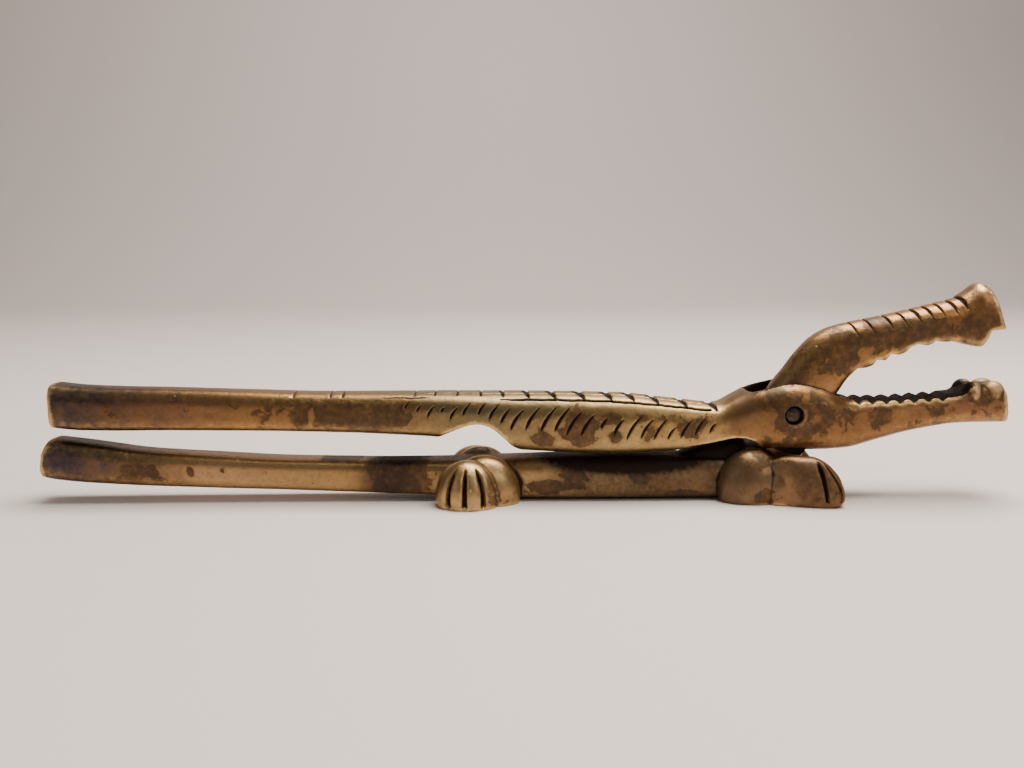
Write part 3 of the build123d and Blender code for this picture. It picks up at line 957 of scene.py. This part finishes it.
def front_toe(side, azimuth, top_width, foot_width, widening=1.0):
    """A groove over the nose of a front paw. The azimuth turns outwards from the nose."""
    turn = Matrix.Rotation(side * math.radians(FRONT_PAW_SPLAY), 3, "Z")
    hip = Vector((FRONT_PAW_HIP[0], side * FRONT_PAW_HIP[1], 0))
    line = []
    for t in TWELFTHS:
        rise = math.radians(64 - 76 * t)
        swing = side * math.radians(azimuth + 8 - 16 * t)
        out = Vector((8.0 * math.cos(rise) * math.cos(swing),
                      4.4 * math.cos(rise) * math.sin(swing), 9.8 * math.sin(rise)))
        half_width = (top_width + (foot_width - top_width) * t) * min(1.0, 0.3 + 3 * t)
        line.append((hip + turn @ (Vector((15.5, 0, 3.5)) + 0.55 * out), turn @ (0.75 * out),
                     widening * half_width))
    return line


toe_lines, toe_dips = [], []
for side in (-1, 1):
    for azimuth, top_width, foot_width in HIND_TOES:
        toe_lines.append(hind_toe(side, azimuth, top_width, foot_width))
        if azimuth < 50:
            toe_dips.append(hind_toe(side, azimuth, top_width, foot_width, 2.2))
    for azimuth, top_width, foot_width in FRONT_TOES:
        toe_lines.append(front_toe(side, azimuth, top_width, foot_width))
        toe_dips.append(front_toe(side, azimuth, top_width, foot_width, 1.8))
toe_blades = drawn_blades("toe_blades", toe_lines)
dip_blades = drawn_blades("dip_blades", toe_dips)
jaw_lines = []
for side in (-1, 1):
    for x, half_width in JAW_CUTS:
        z = between(JAW_BACK, x) - 3.5
        jaw_lines.append([((x + 0.8 * t, side * (0.5 + 5.0 * t), z), (-1.9, 0, 7.0),
                           min(1.0, 3.0 * (1 - t) + 0.25) * half_width) for t in EIGHTHS])
jaw_blades = drawn_blades("jaw_blades", jaw_lines)
print("marks on the leg lever:", len(toe_lines), "toe grooves and", len(jaw_lines), "jaw cuts")

# %% [markdown]
# Press the marks into the metal
#
# A graver leaves a groove with sloping walls, as deep as it is wide until its floor is
# reached. The tree measures how far each point of the skin is from the nearest blade,
# and lowers the point along its normal. How deep it went is kept as dirt, since grime
# gathers in the grooves. Before that, the skin gets the slight waves of a sand casting.
# It also notes where it bends out, which is rubbed bright, and where it bends in, which is later
# darkened as painted shade in the small creases and the wide hollows.


# %% The trees for the cast skin, the grooves and the wear
FLOOR_EASE = 0.1 * MM
LIP_EASE = 0.08 * MM


def normal_of(tree):
    return wired(tree, "GeometryNodeInputNormal", {})


def pushed(geometry, distance):
    """Move every point along its normal."""
    shift = vector_of("SCALE", normal_of(geometry.tree), distance)
    return wired(geometry.tree, "GeometryNodeSetPosition",
                 {"Geometry": geometry, "Offset": shift})


def make_skin_tree():
    tree, given = start_tree("cast_skin", ("Wave Size", "Float", 0.016),
                             ("Wave Depth", "Float", 0.0001), ("Grain Size", "Float", 0.0022),
                             ("Grain Depth", "Float", 0.00003), ("Seed", "Float", 0.0))
    place = wired(tree, "GeometryNodeInputPosition", {})
    wave, grain = [(noise_of(place, given[kind + " Size"], given["Seed"], 2.0) - 0.5) * 3.0
                   * given[kind + " Depth"] for kind in ("Wave", "Grain")]
    return end_tree(tree, pushed(given["Geometry"], wave + grain), given["Material"])


def make_engrave_tree():
    tree, given = start_tree("engrave", ("Blades", "Object", None), ("Depth", "Float", 0.0005),
                             ("Steepness", "Float", 1.5), ("Dirt", "Float", 1.0))
    blades = wired(tree, "GeometryNodeObjectInfo", {"Object": given["Blades"]}, "Geometry")
    distance = wired(tree, "GeometryNodeProximity", {0: blades}, "Distance",
                     target_element="FACES")
    width = wired(tree, "GeometryNodeSampleNearestSurface",
                  {"Mesh": blades, "Value": named(tree, "reach")}, data_type="FLOAT")
    room = (width - distance) * given["Steepness"]
    # the two eases round the groove's floor and its lip
    floored = room.math("SMOOTH_MIN", given["Depth"], FLOOR_EASE)
    drop = floored.math("SMOOTH_MAX", 0.0, LIP_EASE)
    dirt = named(tree, "dirt").math("MAXIMUM", drop / given["Depth"] * given["Dirt"])
    dirty = stored(given["Geometry"], "dirt", dirt)
    return end_tree(tree, pushed(dirty, drop * -1.0), given["Material"])


def make_curvature_tree():
    """Note how far a point stands out from the smoothed surface round it."""
    tree, given = start_tree("note_curvature", ("Name", "String", "wear"),
                             ("Blur Steps", "Int", 10), ("Full Height", "Float", 0.0001))
    place = wired(tree, "GeometryNodeInputPosition", {})
    blurred = wired(tree, "GeometryNodeBlurAttribute",
                    {"Value": place, "Iterations": given["Blur Steps"]}, data_type="FLOAT_VECTOR")
    lift = vector_of("DOT_PRODUCT", vector_of("SUBTRACT", place, blurred), normal_of(tree))
    share = wired(tree, "ShaderNodeClamp", {0: lift / given["Full Height"], 1: 0.0, 2: 1.0})
    return end_tree(tree, stored(given["Geometry"], given["Name"], share), given["Material"])


skin_tree = make_skin_tree()
engrave_tree = make_engrave_tree()
curvature_tree = make_curvature_tree()


def refined(casting, blade_sets, distance):
    """Split the faces near the blades in four, so that the grooves come out crisp."""
    searches = []
    for blades in blade_sets:
        searches.append(BVHTree.FromPolygons([v.co for v in blades.data.vertices],
                                             [tuple(p.vertices) for p in blades.data.polygons]))
    work = bmesh.new()
    work.from_mesh(casting.data)
    close = set()
    for vertex in work.verts:
        found = (search.find_nearest(vertex.co, distance * MM)[0] for search in searches)
        if any(spot is not None for spot in found):
            close.add(vertex)
    edges = [e for e in work.edges if e.verts[0] in close and e.verts[1] in close]
    bmesh.ops.subdivide_edges(work, edges=edges, cuts=1, use_grid_fill=True)
    work.to_mesh(casting.data)
    work.free()
    return casting


def through(casting, tree, **values):
    """Send a casting through a tree and keep the result."""
    return settle(run_tree(casting, tree, material=bare_brass, **values))


# %% [markdown]
# Engrave in the right order
#
# A founder's pattern is finished before the graver touches it, and the same order holds
# here. The faces near the blades are split, the skin gets its waves, and its bends are
# noted while it is whole. Only then do the grooves go in, the wide dips before the narrow
# cuts. The hollows are noted last, so that they take in the grooves.

# %% Engrave both castings
GROOVES = {
    # blades, depth and steepness in millimetres, share of dirt
    body.name: [(slash_blades, 0.50, 2.0, 1.0), (line_blades, 0.50, 1.8, 1.0),
                (thin_blades, 0.22, 1.6, 0.8), (roof_blades, 0.50, 1.9, 1.0)],
    leg.name: [(dip_blades, 0.45, 0.4, 0.0), (toe_blades, 1.0, 2.2, 1.0),
               (jaw_blades, 0.50, 1.6, 1.0)],
}
for casting, seed in ((body, 3.0), (leg, 8.0)):
    refined(casting, [groove[0] for groove in GROOVES[casting.name] if groove[3] > 0], 0.9)
    through(casting, skin_tree, seed=seed)
    through(casting, curvature_tree, name="wear", blur_steps=18, full_height=0.11 * MM)
    # the nooks, the small creases, are later darkened as painted shade
    through(casting, curvature_tree, name="nook", blur_steps=18, full_height=-0.13 * MM)
    for blades, depth, steepness, dirt in GROOVES[casting.name]:
        through(casting, engrave_tree, blades=blades, depth=depth * MM, steepness=steepness,
                dirt=dirt)
        bpy.data.objects.remove(blades)
    # the wide hollows are later darkened as painted shade
    through(casting, curvature_tree, name="hollow", blur_steps=130, full_height=-0.5 * MM)
    print(casting.name, "engraved:", len(casting.data.polygons), "faces")

# %% [markdown]
# Thin the meshes
#
# The skin has an even grid of faces, also where the metal is plain. The decimation keeps
# the small faces at the grooves and the edges, and joins them where the surface is calm.

# %% Thin both castings
FACE_LIMIT = 190000
for casting in (body, leg):
    triangles = sum(len(polygon.vertices) - 2 for polygon in casting.data.polygons)
    if triangles > FACE_LIMIT:
        thin = casting.modifiers.new("thin", "DECIMATE")
        thin.ratio = FACE_LIMIT / triangles
        settle(casting)
    shade_smooth(casting)
    # nothing sticks out of the model's measured size, and the soles stay flat
    for vertex in casting.data.vertices:
        for axis in range(3):
            vertex.co[axis] = min(max(vertex.co[axis], cad_box[0][axis]), cad_box[1][axis])
    print(casting.name, triangles, "triangles, thinned to", len(casting.data.polygons))

# %% [markdown]
# Where the brown film is left
#
# The brass was once lacquered and toned brown. Hands and cloths have rubbed the film off
# the high places, and it is left in patches with crisp, ragged edges. The larger patches
# have their places in the photograph, so they are noted here as soft spots of more or
# less film. Noise in the material then breaks their edges up.
# Black spots are noted the same way. Most of them are painted shade, inside the slot and the jaw
# and where one casting lies in the shadow of the other, and a few are real soot.


# %% Write the film on the points
BODY_FILM = [
    # middle x and z, half sizes along them, strength (below 0 is bare metal)
    (-105, 26, 30, 30, -0.1), (-109, 24.5, 6, 2.6, 0.16), (-84, 27, 1.2, 1, 0.25),
    (-77, 26.5, 1.5, 0.9, 0.25), (-69, 25, 5.5, 3.6, 0.14), (-56, 24, 6.5, 4.4, 0.22),
    (-56.5, 24, 1, 3.2, -0.2), (-41, 23.6, 11.5, 4.2, 0.34), (-38, 30.4, 38, 1.9, -0.45),
    (-35, 17.8, 28, 1.5, -0.3), (-18, 24, 12, 6, -0.14), (5.5, 17.3, 3.2, 1.8, 0.3),
    (15, 19.5, 4.6, 4.6, 0.34), (23.6, 23, 2.6, 1.6, 0.3), (24.6, 17.6, 2.2, 1.8, 0.25),
    (34, 23, 5.5, 1.4, 0.16), (35, 19.2, 3.2, 2.2, 0.14), (43, 19.4, 2.4, 2.6, 0.14),
    (49, 21, 3, 2.8, 0.1), (18, 29.6, 42, 1.9, -0.6), (22, 13.4, 34, 1.4, -0.3),
    (62, 20, 6, 10, -0.06), (73, 22, 12, 9, 0.15), (66.5, 28.5, 3, 3, 0.2),
    (70.6, 23.8, 4.4, 4.4, 0.2), (87, 21, 8, 5, 0.12),
    (95.5, 22.5, 3.5, 2.6, 0.3), (98, 16.2, 11, 1.7, -0.6), (112, 24, 9, 6, 0.12),
    (126, 26, 6, 6, 0.16), (125, 30.5, 7, 1.8, 0.2),
]
LEG_FILM = [
    (-122, 10, 12, 12, -0.1), (-103.5, 9, 4.5, 2.3, 0.22), (-89.4, 8.5, 0.9, 1.5, 0.32),
    (-80.7, 9, 1.3, 1, 0.32), (-64, 8, 19, 12, -0.3), (-50, 11.4, 6.5, 1.3, 0.55),
    (-33, 6, 9, 9, 0.34), (-15, 6, 9, 8, -0.22), (-8, 4, 2.6, 5, 0.22),
    (6, 4, 5, 2.2, 0.26), (14, 5.5, 4, 3.4, 0.2), (24, 4.5, 5, 3.5, -0.12),
    (31, 6.5, 2.5, 2, 0.22), (43, 1.8, 5, 1.3, 0.4), (50, 8, 4, 3, -0.1),
    (62, 11.5, 3.5, 3, 0.16), (64, 2.5, 4, 2, 0.2), (77, 7, 7, 6, 0.02),
    (72, 35, 7, 8, 0.06), (84, 38, 6, 6, 0.18), (104, 44, 20, 4.5, 0.26),
    (100, 51, 22, 2.2, -0.24), (122, 46, 5, 8, 0.2),
]
# black spots have a sixth number, how far they reach to each side. On the body they are painted
# shade in the head slot and under the cheeks, painted shade with some dirt inside the lower jaw,
# and real soot round the pin.
BODY_SOOT_AND_SHADE = [
    (72, 22, 13.5, 11.5, 1, 6.5), (96, 27, 9, 2.2, 1, 5.1), (110, 28.2, 9.5, 2.4, 1, 5.1),
    (115.5, 29.5, 5, 3, 1, 5.1), (71, 13, 7.5, 1.9, 1, 7.8), (71.2, 23.5, 4.2, 4.2, 0.34, 30),
]
# on the leg lever the spots on the bar and the neck root under the body are painted shade, the one
# on the bar under the knee partly dirt; the wide spots at the front legs and the lower tail darken
# them
LEG_SOOT_AND_SHADE = [
    (28, 13, 26, 4.6, 1, 7.8), (56, 14, 9, 4.2, 1, 6), (-20, 12.5, 22, 2.6, 0.5, 6.4),
    (27, 5, 27, 7, 0.38, 8.3), (57, 5, 8, 9, 0.28, 30), (77, 6, 9, 9, 0.4, 30),
    (-36, 7, 9, 9, 0.4, 30),
]


def add_spots(casting, name, patches):
    """Add up the soft spots and write them on the points as one value."""
    spots = np.empty(3 * len(casting.data.vertices))
    casting.data.vertices.foreach_get("co", spots)
    x, y, z = spots.reshape(-1, 3).T / MM
    total = np.zeros(len(x))
    for middle_x, middle_z, half_x, half_z, strength, *reach in patches:
        away = ((x - middle_x) / half_x) ** 2 + ((z - middle_z) / half_z) ** 2
        total += strength * np.exp(-away ** 2) * (np.abs(y) < (reach[0] if reach else np.inf))
    add_values(casting.data, name, total)
    print(casting.name, name, "from", round(total.min(), 2), "to", round(total.max(), 2))


# the film and the black spots of soot and painted shade are written on the points
for casting, film, soot_and_shade in ((body, BODY_FILM, BODY_SOOT_AND_SHADE), (leg, LEG_FILM, LEG_SOOT_AND_SHADE)):
    add_spots(casting, "film", film)
    add_spots(casting, "soot_and_shade", soot_and_shade)

# %% [markdown]
# Old brass
#
# Bare brass is a pale yellow metal that turns olive and brown with age. The material is built in
# layers, as the surface is: metal whose tone changes along the piece, then the brown film, then
# flecks, then black grime in the cuts, and last the edges that are rubbed bright. Every layer
# changes the colour; the metal's speckle, the film, the grime and the rubbed edges change the gloss
# as well, and the film also changes the relief.
# The black layer also holds painted shade: in the creases, in the wide hollows and where one
# casting lies in the shade of the other.


# %% Build the materials
def step_of(value, low, high):
    """A smooth step from 0 at low to 1 at high."""
    return wired(value.tree, "ShaderNodeMapRange", {0: value, 1: low, 2: high},
                 interpolation_type="SMOOTHSTEP")


def blend(factor, first, second):
    """Mix two colours. The second may be a plain red, green and blue."""
    if not isinstance(second, Term):
        second = (*second, 1.0)
    return wired(first.tree, "ShaderNodeMix", {0: factor, 6: first, 7: second}, 2,
                 data_type="RGBA")


def ramp_of(factor, stops):
    """A colour ramp through (place from 0 to 1, red, green, blue) stops."""
    colour = wired(factor.tree, "ShaderNodeValToRGB", {"Fac": factor}, "Color")
    elements = colour.socket.node.color_ramp.elements
    for element, (place, *color) in zip(elements, (stops[0], stops[-1])):
        element.position, element.color = place, (*color, 1.0)
    for place, *color in stops[1:-1]:
        elements.new(place).color = (*color, 1.0)
    return colour


def start_material(name):
    """A material, its shader and the place on the piece in millimetres."""
    material = bpy.data.materials.new(name)
    material.use_nodes = True
    spot = wired(material.node_tree, "ShaderNodeTexCoord", {}, "Object")
    shader = material.node_tree.nodes["Principled BSDF"]
    return material, shader, vector_of("SCALE", spot, 1 / MM)


def finish_material(shader, relief, layers):
    """Link the layers to the shader. The relief is in millimetres."""
    bump = wired(relief.tree, "ShaderNodeBump", {"Height": relief, "Distance": MM})
    for name, value in {**layers, "Normal": bump}.items():
        relief.tree.links.new(value.socket, shader.inputs[name])


LENGTH = 260.0
TAIL_END = -130.0
WANDER = 14.0
BROWN_CLOUD = (0.38, 0.19, 0.06)
DARK_SPECKLE = (0.10, 0.055, 0.020)
STAIN = (0.16, 0.085, 0.030)
FILM_BROWNS = [(0.33, 0.030, 0.014, 0.005), (0.50, 0.068, 0.032, 0.009), (0.66, 0.14, 0.066, 0.017)]
FLECK = (0.05, 0.024, 0.008)
# black for the real grime in the cuts and for painted shade
GRIME_AND_SHADE = (0.012, 0.006, 0.004)
RUBBED_BRIGHT = (0.66, 0.42, 0.16)
# size across and height of the lumps in the surface, in millimetres
LUMPS = ((3.0, 0.10), (0.8, 0.045), (0.25, 0.012))


def old_brass(name, tones, seed):
    """Layered brass. Tones are (x in millimetres, red, green, blue) of the bare metal; the leg
    lever's tones under the body hold painted shade as well.
    """
    material, shader, place = start_material(name)
    dirt, hollow, nook, soot_and_shade, wear, spots = [
        wired(place.tree, "ShaderNodeAttribute", {}, "Fac", attribute_name=value)
        for value in ("dirt", "hollow", "nook", "soot_and_shade", "wear", "film")]
    x = wired(place.tree, "ShaderNodeSeparateXYZ", {"Vector": place}, "X")
    wander = noise_of(place, 9.0, seed + 1) * WANDER
    # the noise wanders by half its range to each side
    along = (x + wander) / LENGTH + (-TAIL_END - WANDER / 2) / LENGTH
    metal = ramp_of(along, [((tone[0] - TAIL_END) / LENGTH, *tone[1:]) for tone in tones])
    cloudy = step_of(noise_of(place, 5.0, seed + 2, 4.0, 0.6), 0.35, 0.65)
    metal = blend(cloudy * 0.45, metal, blend(0.5, metal, BROWN_CLOUD))
    speckle = noise_of(place, 0.9, seed + 3, 3.0, 0.65)
    metal = blend(step_of(speckle, 0.45, 0.70) * 0.30, metal, DARK_SPECKLE)

    ragged = noise_of(place, 4.6, seed + 4, 6.0, 0.62, 0.35) + spots
    metal = blend(step_of(ragged, 0.40, 0.64) * 0.50, metal, STAIN)
    film = step_of(ragged, 0.60, 0.64)
    browns = ramp_of(noise_of(place, 1.9, seed + 5, 5.0, 0.65), FILM_BROWNS)
    colour = blend(film * 0.88, metal, browns)
    flecks = step_of(noise_of(place, 1.7, seed + 6, 4.0, 0.6), 0.66, 0.70)
    colour = blend(flecks * 0.75, colour, FLECK)

    # the black layer: real grime in the cuts, and painted shade in the nooks, the wide hollows and
    # the shade spots
    broken = noise_of(place, 1.2, seed + 7) + 0.45
    soot_and_shade = soot_and_shade * (broken + 0.3)
    deep = (dirt * broken).math("MAXIMUM", nook * 0.7)
    deep = deep.math("MAXIMUM", (hollow * broken).math("MAXIMUM", soot_and_shade))
    grime_and_shade = step_of(deep, 0.15, 0.80)
    colour = blend(grime_and_shade, colour, GRIME_AND_SHADE)
    rubbed = step_of(wear * (broken - soot_and_shade * 2.0), 0.15, 0.85) * 0.75
    colour = blend(rubbed, colour, RUBBED_BRIGHT)

    covered = film * 0.40 + grime_and_shade * 0.85
    relief = film * 0.025
    for size, height in LUMPS:
        relief = relief + noise_of(place, size, seed + 8 + size, 3.0, 0.6) * height
    pits = step_of(noise_of(place, 1.1, seed + 9, 2.0), 0.70, 0.76)
    finish_material(shader, relief - pits * 0.08, {
        "Base Color": colour,
        "Metallic": 0.95 - covered,
        "Specular IOR Level": 0.5 - grime_and_shade * 0.4,
        "Roughness": speckle * 0.22 + 0.26 + covered * 0.22 - rubbed * 0.05,
    })
    return material


BODY_TONES = [
    (-130, 0.034, 0.033, 0.044), (-112, 0.054, 0.040, 0.040), (-100, 0.129, 0.070, 0.045),
    (-70, 0.264, 0.137, 0.053), (-40, 0.225, 0.140, 0.058), (-15, 0.186, 0.146, 0.074),
    (15, 0.308, 0.226, 0.101), (50, 0.410, 0.271, 0.104), (57, 0.190, 0.110, 0.055),
    (75, 0.182, 0.085, 0.034), (100, 0.232, 0.118, 0.054), (130, 0.223, 0.102, 0.063),
]
LEG_TONES = [
    (-130, 0.021, 0.024, 0.040), (-114, 0.048, 0.040, 0.043), (-100, 0.190, 0.117, 0.068),
    (-88, 0.374, 0.234, 0.119), (-46, 0.327, 0.207, 0.087), (-40, 0.195, 0.114, 0.050),
    # from x 50 to 62, where the bar lies under the body, the tones are darker: partly patina,
    # partly painted shade
    (-24, 0.358, 0.235, 0.109), (-6, 0.397, 0.259, 0.118), (50, 0.150, 0.098, 0.048),
    (62, 0.170, 0.110, 0.071), (82, 0.291, 0.152, 0.062), (115, 0.298, 0.150, 0.053),
    (130, 0.133, 0.055, 0.047),
]
body_brass = old_brass("body_brass", BODY_TONES, 3.0)
leg_brass = old_brass("leg_brass", LEG_TONES, 21.0)


STEEL_TONES = [(0.35, 0.032, 0.022, 0.018), (0.55, 0.070, 0.047, 0.036), (0.70, 0.14, 0.10, 0.080)]
RUST = (0.10, 0.048, 0.02)


def dark_steel(name, seed):
    """Blued steel gone dull, with brown spots and small pits."""
    material, shader, place = start_material(name)
    cloudy = noise_of(place, 1.6, seed, 4.0, 0.6)
    rust = step_of(noise_of(place, 0.9, seed + 1, 4.0, 0.6), 0.58, 0.68)
    finish_material(shader, noise_of(place, 0.7, seed + 2, 4.0) * 0.10, {
        "Base Color": blend(rust * 0.6, ramp_of(cloudy, STEEL_TONES), RUST),
        "Metallic": 0.9 - rust * 0.6,
        "Roughness": cloudy * 0.3 + 0.30,
    })
    return material


pin_steel = dark_steel("pin_steel", 5.0)

# %% [markdown]
# The pin
#
# The steel pin is riveted cold: each end is hammered until it swells into a low crown,
# which leaves it a little lumpy. Its ends sit below the cheeks and look like eyes.

# %% Turn the pin
PIN_TIP = 8.80
PIN_CROWN = 2.15
# place along the pin and radius: the crown, then the shoulder that fills the bore
half_profile = [(PIN_TIP - 0.45 * (r / PIN_CROWN) ** 2.4, r)
                for r in np.linspace(0.02, PIN_CROWN, 12)]
half_profile += [(7.9, 2.3), (7.6, 2.6), (7.3, 2.9)]
pin_profile = [(-y, r) for y, r in half_profile] + half_profile[::-1]
turns = np.linspace(0, 2 * math.pi, 72, endpoint=False)
pin = skin_over("pin", [[Vector((PIN[0] + r * math.cos(a), y, PIN[2] + r * math.sin(a)))
                         for a in turns] for y, r in pin_profile])
skinned(pin, voxel=0.18, smoothing=2)
through(pin, skin_tree, wave_size=2 * MM, wave_depth=0.04 * MM, grain_size=0.7 * MM,
        grain_depth=0.02 * MM, seed=2.0)
shade_smooth(pin)

# %% [markdown]
# Hand the pieces over
#
# Each finished piece takes the place of its plain CAD piece, moves with its body and
# carries its own material.

# %% Put the finished pieces in place
for piece, node_name, body_name, slot_name, material in (
        (body, "body_lever", "body_lever", "body_brass", body_brass),
        (leg, "leg_lever", "leg_lever", "leg_brass", leg_brass),
        (pin, "pivot_pin", "body_lever", "pin_steel", pin_steel)):
    piece.data.materials.clear()
    piece.data.materials.append(material)
    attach(piece, body_name)
    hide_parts(node_name)
    frame["nodes"][node_name].data.materials.clear()
    frame["nodes"][node_name].data.materials.append(material)
    print(piece.name, len(piece.data.polygons), "faces")
